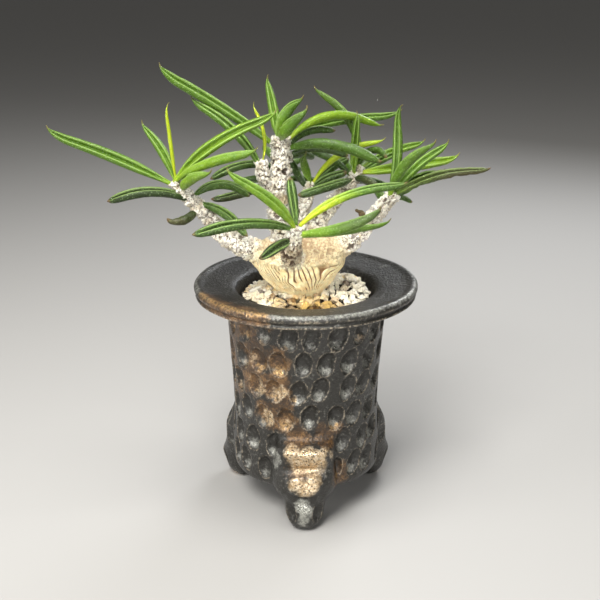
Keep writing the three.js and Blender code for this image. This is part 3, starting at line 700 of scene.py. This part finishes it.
# Each shoot: its path, its radii at root and tip, where its leafy end starts, and where its knobs start.
SHOOTS = {
    "left": ([(-12, -2, 98), (-23, -4, 103), (-29.5, -5, 107), (-37, -6, 116), (-47.7, -8, 128)],
             6, 1.9, 32, 7.5),
    "tall": ([(-7, 1, 98), (-9.4, 1, 108.6), (-10.4, 2, 119), (-9.2, 2, 132), (-9.1, 2, 142.3)],
             4.4, 3.4, 33, 5),
    "spur": ([(-10.2, 1.5, 120), (-15.2, -0.4, 127.4), (-16.4, -1.6, 134.4)],
             2.9, 2, 9, 1),
    "front": ([(-5, -8, 98), (-5.4, -15.5, 103.2), (-4.6, -19, 109.5), (-3.1, -22, 115)],
             4.6, 2.3, 15, 6),
    "right": ([(8, -1, 99), (16.5, -2, 104.5), (24, -3, 113), (29, -4, 119), (32.6, -4, 123)],
             5.4, 2.2, 26, 7),
    "rear": ([(1, 6, 100), (5.5, 9, 110), (13, 12, 118.6), (18, 14, 124.4), (20.8, 16, 128.4)],
             4.2, 2.1, 27.5, 6),
    "inner": ([(-3, 5, 100), (-1.6, 8, 110.5), (0, 10, 117), (2, 12, 123)],
             3.4, 2, 18, 4),
    "far": ([(-6, 7, 99), (-8.5, 14, 109.5), (-9.4, 20, 118.6), (-8.7, 26, 127)],
             4.4, 2, 25.5, 5),
}
AXIS_STEP, PATH_STEPS = 0.4, 60
SHOOT_STEP, SHOOT_SIDES = 0.8, 18
ARMS_VOXEL, STEM_VOXEL = 0.33, 0.28
# The core of the wrinkles on the caudex's front, and the brown scarred place above it.
WRINKLE_CORE, SCAR_PLACE = (-2.5, -0.5, 93.4), (-5.4, -17.6, 105)


def path_points(corners):
    """A smooth curve through the corners, as close points with their distances from the root."""
    corners = [Vector(corner) for corner in corners]
    corners = [2 * corners[0] - corners[1], *corners, 2 * corners[-1] - corners[-2]]
    points = []
    for a, b, c, d in zip(corners, corners[1:], corners[2:], corners[3:]):
        ab, bc, cd = ((q - p).length ** 0.5 for p, q in ((a, b), (b, c), (c, d)))
        leave = ((b - a) / ab - (c - a) / (ab + bc) + (c - b) / bc) * bc
        arrive = ((c - b) / bc - (d - b) / (bc + cd) + (d - c) / cd) * bc
        for k in range(PATH_STEPS):
            t = k / PATH_STEPS
            points.append(b + leave * t + (3 * (c - b) - 2 * leave - arrive) * t ** 2
                          + (2 * (b - c) + leave + arrive) * t ** 3)
    points.append(corners[-2])
    distances = [0.0]
    for p, q in zip(points, points[1:]):
        distances.append(distances[-1] + (q - p).length)
    return points, distances


PATHS = {name: path_points(shoot[0]) for name, shoot in SHOOTS.items()}


def path_at(name, distance):
    """The point and the direction at a distance along a shoot."""
    points, distances = PATHS[name]
    distance = min(max(distance, 0), distances[-1])
    i = max(1, next(k for k, d in enumerate(distances) if d >= distance - 1e-9))
    step = distances[i] - distances[i - 1]
    share = (distance - distances[i - 1]) / step
    return points[i - 1].lerp(points[i], share), (points[i] - points[i - 1]).normalized()


def shoot_radius(name, distance):
    """The shoot's radius, which falls quickest near its root."""
    _, root, tip, _, _ = SHOOTS[name]
    return root + (tip - root) * math.sqrt(max(0, distance) / PATHS[name][1][-1])


def grow_shoot(shape, name, start, end):
    """Adds a stretch of a shoot to a bmesh, a little lumpy."""
    rings = []
    count = max(3, round((end - start) / SHOOT_STEP))
    for k in range(count + 1):
        distance = start + (end - start) * k / count
        centre, head = path_at(name, distance)
        u = Vector((0, 1, 0)).cross(head).normalized()
        v = head.cross(u)
        points = []
        for column in range(SHOOT_SIDES):
            angle = math.tau * column / SHOOT_SIDES
            way = u * math.cos(angle) + v * math.sin(angle)
            lump = 0.45 * noise.noise(Vector((distance * 0.4, 0, 0)) + way * 1.3 + centre * 0.02)
            points.append(spot(*(centre + way * (shoot_radius(name, distance) + lump))))
        rings.append(points)
    loft(shape, rings)


axis_points = []
for name in SHOOTS:
    for k in range(math.ceil(PATHS[name][1][-1] / AXIS_STEP) + 1):
        axis_points.append((name, k * AXIS_STEP, path_at(name, k * AXIS_STEP)[0]))
axis_tree = kdtree.KDTree(len(axis_points))
for k, (name, distance, point) in enumerate(axis_points):
    axis_tree.insert(point, k)
axis_tree.balance()


def wrinkle_at(place):
    """The caudex's wrinkles run like a thumb print: upright and close together on the left, leaning one way
    past the print's core and the other way on the right, and all bent in towards the root. Gives a place's
    phase across them, how deep they are there, and its height above the core in millimetres."""
    local = place - Vector(WRINKLE_CORE)
    round_about = 15 * math.atan2(local.x, -local.y)
    lean = 0.1 + 0.7 * soft_step(-4, 2, round_about) - 1.8 * soft_step(4, 16, round_about)
    across = round_about + lean * local.z + 0.75 * min(local.z + 1.5, 0) * soft_step(3, -4, round_about)
    across += 2.5 + 2.5 * noise.noise(local * 0.09) + 0.8 * noise.noise(local * 0.24)
    phase = 2.8 * across + 2 * min(across + 2, 0)
    deep = soft_step(6.5, 3, local.z) * soft_step(-7.5, -4.5, local.z)
    return phase, deep * soft_step(-0.45, -0.16, noise.noise(local * 0.21)), local.z


def grow_bark(shape):
    """Raises the crust of old leaf bases on the shoots, cell by cell, and presses the wrinkles into the
    caudex. For the bark's finish, marks each vertex as on a shoot, in a hollow between knobs, scarred, in a
    crease of the caudex's crumbly top, and with its place in the wrinkles."""
    marks = shape.verts.layers.float_color.new("bark")
    wrinkles = shape.verts.layers.float_color.new("wrinkles")
    shape.normal_update()
    for vert in shape.verts:
        place = in_mm(vert.co)
        _, k, away = axis_tree.find(place)
        name, distance, _ = axis_points[k]
        above = away - shoot_radius(name, distance)
        knobs_from = SHOOTS[name][4]
        near = soft_step(2.4, 1.2, above)
        on_shoot = soft_step(knobs_from - 2, knobs_from + 4, distance) * near
        crust = soft_step(knobs_from - 4, knobs_from + 3, distance) * near
        stray = noise.noise(place * 0.5)
        high = soft_step(96, 102, place.z + 3.4 * stray) * (1 - crust)
        seen = place - Vector(SCAR_PLACE)
        scar = soft_step(5.4, 3.6, Vector((seen.x, seen.y, 0.62 * seen.z)).length + 1.4 * stray)
        warped = place + 0.9 * noise.noise_vector(place * 0.55) + 0.35 * noise.noise_vector(place * 1.9)
        gaps, seats = noise.voronoi(warped * 0.58)
        ridge = gaps[1] - gaps[0]
        bold = 0.5 + 0.5 * noise.noise(seats[0] * 5.3)
        knob = soft_step(0.01, 0.24, ridge) * soft_step(0.26, 0.38, bold)
        gaps, seats = noise.voronoi(warped * (1.1 - 0.3 * high))
        crumb = soft_step(0.02, 0.3 - 0.14 * high, gaps[1] - gaps[0])
        crumb *= soft_step(0.3, 0.6, 0.5 + 0.5 * noise.noise(seats[0] * 4.1))
        crumbs = max(crust, 0.9 * scar)
        lumps = 0.35 * noise.noise(place * 0.22) + 0.18 * noise.noise(place * 0.9)
        push = crumbs * (-0.45 + (0.6 + 0.7 * bold) * knob) + (1 - crust) * lumps
        push += 0.5 * scar + max(high, 0.6 * crust) * (0.7 * crumb - 0.33)
        phase, deep, height_up = wrinkle_at(place)
        push -= 0.3 * deep * (1 - crust) * soft_step(0.1, 0.95, math.sin(phase))
        vert[wrinkles] = (phase, deep, height_up, 1)
        vert.co += vert.normal * push / 1000
        raised = soft_step(0.015, 0.11 + 0.17 * scar, ridge)
        raised *= soft_step(0.25 + 0.09 * scar, 0.34 + 0.12 * scar, bold)
        hollow = max(crumbs * (1 - raised), 0.3 * crust * (1 - crumb))
        vert[marks] = (on_shoot * (1 - 0.6 * scar), hollow, scar * (1 - 0.65 * knob), high * (1 - crumb))


woody = bmesh.new()
rings = []
for k in range(CAUDEX_RINGS + 1):
    z = CAUDEX[0][0] + 56.4 * k / CAUDEX_RINGS
    x, y, wide, deep = (smooth_read(CAUDEX, z, column) for column in (1, 2, 3, 4))
    points = []
    for column in range(CAUDEX_SIDES):
        angle = math.tau * column / CAUDEX_SIDES
        fold = 0.3 * math.cos(5 * angle + z) if z > 84 else 0
        points.append(spot(x + (wide + fold) * math.cos(angle), y + (deep + fold) * math.sin(angle), z))
    rings.append(points)
loft(woody, rings)
for name, shoot in SHOOTS.items():
    grow_shoot(woody, name, 0, shoot[3])
woody = fused(woody, ARMS_VOXEL)
smoothed(woody, 2)
grow_bark(woody)

DEEP_CREAM, CREAM, TOP_CREAM_AND_SHADE = (0.96, 0.76, 0.4), (1.0, 0.93, 0.62), (0.66, 0.54, 0.36)
WRINKLE, STREAK, CREASE = (0.27, 0.12, 0.04), (0.6, 0.38, 0.17), (0.3, 0.19, 0.1)
DULL_WHITE, WHITE, DARK_FLECK = (0.7, 0.62, 0.46), (1.0, 0.97, 0.88), (0.2, 0.13, 0.07)
SCAR, HOLLOW_BROWN_AND_SHADE = (0.14, 0.075, 0.03), (0.07, 0.042, 0.022)
bark, tree, surface = new_finish("corky_bark", {"Roughness": 0.86, "Specular IOR Level": 0.3})
on_shoot, hollow, scar, crease = painted(tree, "bark")
phase, deep, height_up, _ = painted(tree, "wrinkles")
lines = times(spread(reckon("SINE", phase), 0.56, 0.94), deep)
cork = grain(tree, 420, 1300, 0.35)
# Fine streaks that run along the wrinkles.
fibres = shade(tree, "CombineXYZ", {"X": times(phase, 0.93), "Y": height_up}).outputs["Vector"]
streaks = shade(tree, "TexNoise", {
    "Vector": fibres, "Scale": 0.85, "Detail": 4.0, "Distortion": 0.5}).outputs["Fac"]
cream = blended(spread(cork["Patches"], 0.3, 0.7), DEEP_CREAM, CREAM)
# Darker and greyer towards the caudex's top: partly the crust's own brown, partly painted shade.
cream = blended(spread(height_up, 2.5, 11.0, 0, 0.75), cream, TOP_CREAM_AND_SHADE)
cream = blended(times(lines, 0.95), cream, WRINKLE)
cream = blended(spread(streaks, 0.53, 0.7, 0, 0.45), cream, STREAK)
cream = blended(times(crease, 0.85), cream, CREASE)
white = blended(spread(cork["Patches"], 0.3, 0.6), DULL_WHITE, WHITE)
white = blended(times(cork["Flecks"], 0.75), white, DARK_FLECK)
colour = blended(on_shoot, cream, white)
colour = blended(times(scar, 0.9), colour, SCAR)
# The hollows between the knobs: dark brown, deepened by painted shade.
colour = blended(times(hollow, 0.95), colour, HOLLOW_BROWN_AND_SHADE)
height = minus(minus(cork["Patches"], times(lines, 1.3)), times(streaks, 0.9))
wire(surface, {"Base Color": colour, "Normal": relief(height, 0.8, 0.0007)})

caudex = placed_piece("caudex_and_arms", woody, bark)
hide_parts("caudex")

# The leafy end of each shoot: the same knobbly living stem, grown on from its arm. It starts a little inside
# the arm and ends a little past the last leaf.
STEM_START, STEM_PAST = 0.4, 0.3
for name, shoot in SHOOTS.items():
    stem = bmesh.new()
    grow_shoot(stem, name, shoot[3] - STEM_START, PATHS[name][1][-1] + STEM_PAST)
    stem = fused(stem, STEM_VOXEL)
    smoothed(stem, 1)
    grow_bark(stem)
    stem_end = placed_piece("stem_" + name, stem, bark)
    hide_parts("leafy_stem_" + name)

# The leaves: narrow and succulent, each rolled up lengthways until its edges meet over a groove, with a short
# brown point that hooks up. The edges are paler, partly in their own colour and partly as painted highlight.
# Each grows from just inside the bark.
# Per leaf: millimetres back from the shoot's tip, turn, rise, length, width, bend, sway, roll of the groove;
# then tone (0 old and dark, 1 new and yellow-green), how far its base is still fresh, how open its roll is,
# how withered and how pointed it is. Noughts at the end are left off.
LEAVES = {
    "left": [
        (0.6, 219, 84, 29, 1.8, -2, 11, 0, 0.95, 0.5), (1, 186, 24, 49, 4.3, -10, 11, -55, 0.46, 0.1, 0.2),
        (1, 152, 53, 26, 3.7, -36, 6, 40, 0.5, 0.1, 0.2, 0, 0.5),
        (0, 1, 31, 46, 4.4, -40, 28, 65, 0.58, 0.1, 0.5, 0, 0.3),
        (0, 343, 20, 36, 4.4, -30, 37, -10, 0.56, 0.2),
        (4, 311, 24, 22, 5.1, -31, 40, -10, 0.54, 0.2, 0.1, 0.12, 0.9),
        (9, 20, -5, 24, 3.9, -96, -13, 30, 0.3), (9, 196, 3, 32, 4.2, -60, -13, -30, 0.08),
        (13, 208, -12, 13, 4.4, 70, -30, 20, 0.1, 0, 0.6, 0.35, 0.6),
        (12, 348, -34, 22, 3.9, -56, -7, -15, 0.32, 0, 0.2), (4, 78, 6, 22, 3.7, -20, 0, 0, 0.35)],
    "tall": [
        (3, 183, 33, 51, 4.4, -9, 16, -50, 0.45, 0, 0.3),
        (1, 123, 69, 24, 3.9, -7, 12, -30, 0.5, 0.1, 0.1, 0, 0.6),
        (1, 339, 58, 22, 5.2, -90, -39, 35, 0.4, 0.3, 0, 0, 0.9),
        (0, 308, 36, 22, 5.6, 2, 60, 40, 0.4, 0.3, 0, 0, 1),
        (2, 20, 3, 42, 3.7, -88, -15, -50, 0.6, 0.3, 0.2), (4, 350, -8, 36, 4.6, -54, -8, -45, 0.34, 0, 0.2),
        (7, 11, -3, 24, 3.5, -59, -11, 0, 0.15), (5, 27, 14, 23, 3.6, -65, -44, 0, 0.2),
        (1, 27, 5, 54, 3.7, -12, -58, 45, 0.42, 0, 0.2), (4, 84, 0, 30, 3.7, -30, 10, 0, 0.4),
        (8, 62, -10, 24, 3.7, -30, 0, 0, 0.3)],
    "spur": [
        (3, 173, 42, 39, 3.8, -54, -48, -35, 0.4, 0, 0.1), (0, 181, 78, 22, 1.8, -54, 6, 0, 0.95, 0.6)],
    "front": [
        (0, 115, 72, 17, 3.5, -8, 1, -25, 0.25, 0, 0.1),
        (0, 205, 39, 35, 4.4, -28, -61, -20, 0.55, 0.1, 0.3, 0, 0.4),
        (1, 199, 1, 37, 4.2, -44, -13, -5, 0.24, 0, 0.1),
        (6, 226, -14, 16, 4.1, -36, -16, -30, 0.04, 0, 1, 0, 0.5),
        (0, 12, 17, 43, 3.7, -38, -40, -10, 0.36, 1),
        (2, 351, 18, 32, 4.9, 28, 35, -30, 0.3, 0.4, 0, 0.1, 0.6),
        (4, 7, 6, 35, 3.5, -8, 43, -30, 0.4, 0, 0.2, 0.1, 0.6)],
    "right": [
        (0, 351, 16, 37, 3.9, -43, 12, 50, 0.08, 0.3, 0.5, 0.5, 0.5),
        (2, 316, 46, 31, 4.9, -53, 25, 100, 0.38, 0.2, 0, 0.1, 0.9),
        (2, 10, 41, 31, 3.7, -34, -14, 50, 0.5, 0, 0.3),
        (3, 84, 78, 35, 3.8, 33, 108, -95, 0.42, 0, 0.3, 0.05, 0.5),
        (3, 19, 19, 25, 3.4, -41, -43, 20, 0.45, 0, 0.2), (4, 31, -11, 12, 2.3, -64, -40, 0, 0.3),
        (5, 43, 9, 17, 1.9, -9, -37, 0, 0.4), (6, 96, 4, 24, 3.7, -20, 0, 0, 0.3),
        (15, 200, 40, 6, 3.4, -90, 60, 0, 0.05, 0, 0.9, 1, 0.5)],
    "rear": [
        (2, 351, 10, 39, 4.5, -1, 13, 95, 0.66, 0.2, 0.8, 0, 0.4),
        (4, 274, 67, 28, 3.2, 11, 25, -145, 0.5, 0.2, 0.3),
        (0, 184, 57, 37, 3.9, -76, 14, -40, 0.36, 0, 0.1, 0.1, 0.5),
        (5, 163, 28, 19, 3.6, -45, -8, 0, 0.25, 0, 0.4), (1, 322, 21, 19, 3.1, -130, -60, 0, 0.3, 0, 0.1),
        (2, 22, 21, 20, 3, -20, 0, 70, 0.4, 0, 0.2), (0, 18, 17, 29, 3.6, -16, -38, 65, 0.55, 0, 0.4),
        (6, 215, -7, 26, 3.9, -17, -49, -10, 0.15, 0, 0.1),
        (5, 310, -5, 13, 3.7, -37, 15, 0, 0.12, 0, 0, 0.2), (3, 72, 0, 32, 3.8, -20, 10, 0, 0.4),
        (4, 100, 4, 30, 3.8, -26, 0, 0, 0.4), (6, 52, -14, 24, 3.5, -20, 0, 0, 0.3)],
    "inner": [
        (0, 1, 29, 34, 3, -66, -2, 0, 0.85, 0.5), (1, 40, 23, 21, 3.6, -21, -22, 25, 0.25, 0, 0.1),
        (2, 2, 25, 15, 3.7, -36, -10, 60, 0.2), (0, 258, 49, 18, 3.9, -50, 80, 145, 0.45, 0.1, 0, 0.1, 1),
        (2, 140, 51, 13, 3.6, 13, -40, 0, 0.2)],
    "far": [
        (3, 202, -2, 31, 3.7, -74, -22, -65, 0.25), (6, 208, -10, 30, 3.7, 7, -24, -55, 0.08, 0, 0, 0.15),
        (0, 95, 42, 26, 3.7, -20, 0, 0, 0.4), (2, 56, 8, 34, 3.9, -24, 0, 0, 0.4),
        (2, 106, 6, 32, 3.9, -26, 0, 0, 0.35), (4, 78, -8, 30, 3.8, -24, 0, 0, 0.3),
        (5, 150, -14, 24, 3.7, -20, 0, 0, 0.25), (5, 34, -16, 26, 3.7, -20, 0, 0, 0.3)],
}
LEAF_SUNK = 1.2
LEAF_STEPS, LEAF_ROWS, LEAF_TWIST = 60, 38, 14
# Shares of the full width from base to tip.
LEAF_WIDTH = [[0, 0.44], [0.05, 0.48], [0.13, 0.66], [0.32, 0.94], [0.55, 1], [0.76, 0.93], [0.87, 0.76],
              [0.94, 0.46], [0.96, 0.3], [0.98, 0.17], [1, 0.06]]
POINTED_WIDTH = [[0, 0.4], [0.06, 0.46], [0.18, 0.76], [0.34, 0.98], [0.46, 1], [0.62, 0.88], [0.76, 0.68],
                 [0.88, 0.44], [0.96, 0.24], [0.98, 0.16], [1, 0.06]]
BLUNT_WIDTH = [[0, 0.44], [0.05, 0.5], [0.13, 0.7], [0.32, 0.95], [0.6, 1], [0.8, 0.95], [0.9, 0.82],
               [0.955, 0.62], [0.98, 0.36], [0.99, 0.2], [1, 0.05]]
# The drawn-out tip: its length, and how many degrees it and the last fifth of the leaf hook up.
TIP_LONG, TIP_CURL, TIP_HOOK = 2.6, 34, 26
# Half sections from the groove's middle over the lip to the keel, as shares of the width across and up:
# tightly rolled, and standing open.
ROLLED = [(0, 0.02), (0.06, 0.07), (0.105, 0.21), (0.15, 0.33), (0.215, 0.375), (0.3, 0.345), (0.41, 0.24),
          (0.48, 0.1), (0.49, -0.05), (0.435, -0.2), (0.315, -0.31), (0.165, -0.37), (0, -0.385)]
OPEN = [(0, -0.07), (0.11, -0.05), (0.21, 0.06), (0.3, 0.22), (0.365, 0.31), (0.43, 0.28), (0.485, 0.17),
        (0.5, 0.04), (0.475, -0.1), (0.405, -0.22), (0.29, -0.31), (0.155, -0.36), (0, -0.375)]


def leaf_line(root, turn, rise, long, bend, sway, hook=1.0):
    """A leaf's middle line and its directions, as it bends, sways and hooks up at the tip."""
    points, heads = [root], []
    for k in range(LEAF_STEPS):
        s = (k + 0.5) / LEAF_STEPS
        curl = TIP_HOOK * max(0, (s - 0.8) / 0.2) + TIP_CURL * max(0, 1 - (1 - s) * long / TIP_LONG)
        up = math.radians(rise + bend * (s - 0.5) + curl * hook)
        way = math.radians(turn + sway * (s - 0.5))
        head = Vector((math.cos(up) * math.cos(way), math.cos(up) * math.sin(way), math.sin(up)))
        heads.append(head)
        points.append(points[-1] + head * long / LEAF_STEPS)
    return points, heads


def grow_leaf(shape, layer, name, number, growth):
    """Adds one leaf: a sheet of faces wrapped round its middle line and closed at both ends."""
    growth = (*growth, 0, 0, 0, 0)[:13]
    back, turn, rise, long, wide, bend, sway, roll, tone, fresh, opened, withered, pointed = growth
    dice = random.Random(f"{name}{number}")
    length = PATHS[name][1][-1]
    base, axis = path_at(name, length - back)
    out = leaf_line(Vector(), turn, rise, long, bend, sway)[1][0]
    out = out - axis * out.dot(axis)
    sink = max(0, shoot_radius(name, length - back) - LEAF_SUNK) if out.length > 0.3 else 0
    root = base + out.normalized() * sink if sink else base - axis * LEAF_SUNK
    blunt = soft_step(0.42, 0.28, tone) * (1 - pointed)
    points, heads = leaf_line(root, turn, rise, long, bend, sway, 1 - 0.7 * blunt)
    middle = heads[LEAF_STEPS // 2]
    face = axis - middle * axis.dot(middle)
    if face.length < 0.25:
        face = Vector((0, 0, 1)) - middle * middle.z
    face = Matrix.Rotation(math.radians(roll), 3, middle) @ face.normalized()
    twist = dice.uniform(-LEAF_TWIST, LEAF_TWIST)
    phase = dice.uniform(0, 9)
    half = len(ROLLED) - 1
    sheet = bmesh.ops.create_grid(shape, x_segments=2 * half, y_segments=LEAF_ROWS, size=1)["verts"]
    for vert in sheet:
        s = (vert.co.y + 1) / 2
        s = 1 - (1 - s) ** 1.25 if s < 1 else 1
        column = round((vert.co.x + 1) * half)
        k = column if column <= half else 2 * half - column
        rolled, spread_out = Vector(ROLLED[k]), Vector(OPEN[k])
        folded = rolled.lerp(spread_out, opened * (0.75 + 0.25 * math.sin(5 * s + phase)))
        angle = math.pi * k / half
        plain = Vector((0.42 * math.sin(angle), 0.4 * math.cos(angle)))
        groove = soft_step(0.02, 0.2, s) * (1 - soft_step(0.9, 0.99, s))
        across, up = plain.lerp(folded, groove)
        side_sign = 1 if column <= half else -1
        i = min(LEAF_STEPS - 1, int(s * LEAF_STEPS))
        share = s * LEAF_STEPS - i
        at = points[i].lerp(points[i + 1], share)
        head = heads[i]
        wring = math.radians(twist * (s - 0.5) + 3 * math.sin(4 * s + phase))
        lift = Matrix.Rotation(wring, 3, head) @ (face - head * face.dot(head)).normalized()
        side = lift.cross(head)
        tip = TIP_LONG / long
        station = s * 0.955 / (1 - tip) if s < 1 - tip else 1 - 0.045 * (1 - s) / tip
        share_wide = (1 - pointed) * smooth_read(LEAF_WIDTH, station)
        share_wide += pointed * smooth_read(POINTED_WIDTH, station)
        share_wide += (smooth_read(BLUNT_WIDTH, s) - share_wide) * blunt
        width = wide * share_wide * (1 + 0.04 * math.sin(9 * s + phase) + 0.1 * withered * math.sin(16 * s))
        shrunk = 1 - 0.3 * withered * soft_step(0.3, 0.9, s)
        crinkle = (0.05 + 0.3 * withered) * noise.noise(Vector((s * long * 0.6, column * 0.5, phase)))
        vert.co = spot(*(at + (side * across * side_sign + lift * up) * width * (shrunk + crinkle)))
        # The lips' paleness: partly their own colour, partly a painted highlight.
        lip_and_highlight = max(0, 1 - abs(k - 3.6) / 1.5) * groove
        lighter = tone + (0.95 - tone) * fresh * (1 - soft_step(0.25, 0.75, s))
        lighter += 0.22 * (1 - soft_step(0, 0.16, s))
        brown = max(soft_step(0.955 + 0.02 * blunt, 0.99, station), withered ** 2,
                    withered * soft_step(3, 8, k) * soft_step(0.3, 0.6, s))
        vert[layer] = (s, min(1, lighter), lip_and_highlight, brown)
    bmesh.ops.remove_doubles(shape, verts=sheet, dist=2e-6)


TONES = [(0, (0.018, 0.028, 0.009)), (0.25, (0.03, 0.064, 0.008)), (0.5, (0.08, 0.168, 0.011)),
         (0.75, (0.2, 0.32, 0.012)), (1, (0.4, 0.48, 0.014))]
LIP_GREEN_AND_HIGHLIGHT, PALE_FLECK_AND_GLINT, DRY_BROWN = (0.37, 0.54, 0.16), (0.36, 0.5, 0.24), (0.15, 0.09, 0.045)
rolled_leaf, tree, surface = new_finish("rolled_leaf", {"Specular IOR Level": 0.3})
_, age, lip_and_highlight, brown = painted(tree, "growth")
skin = grain(tree, 420, 1700, 0.35)
colour = ramp(plus(age, times(minus(skin["Patches"], 0.5), 0.3)), TONES)
# Paler lips along the groove: partly their own colour, partly a painted highlight.
colour = blended(times(lip_and_highlight, 0.55), colour, LIP_GREEN_AND_HIGHLIGHT)
# Pale flecks of the skin: partly its mottling, partly painted glints.
colour = blended(times(skin["Flecks"], 0.34), colour, PALE_FLECK_AND_GLINT)
colour = blended(times(brown, 0.7), colour, DRY_BROWN)
rough = plus(spread(skin["Patches"], 0.3, 0.7, 0.24, 0.42), times(brown, 0.3))
height = minus(skin["Patches"], times(skin["Pits"], 0.5))
wire(surface, {"Base Color": colour, "Roughness": rough, "Normal": relief(height, 0.8, 0.0005)})

for name, growths in LEAVES.items():
    head = bmesh.new()
    growth_layer = head.verts.layers.float_color.new("growth")
    for number, growth in enumerate(growths):
        grow_leaf(head, growth_layer, name, number, growth)
    bmesh.ops.holes_fill(head, edges=[edge for edge in head.edges if edge.is_boundary], sides=0)
    bmesh.ops.recalc_face_normals(head, faces=head.faces)
    leaves = placed_piece("leaves_" + name, head, rolled_leaf)
    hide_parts("leafy_stem_" + name)
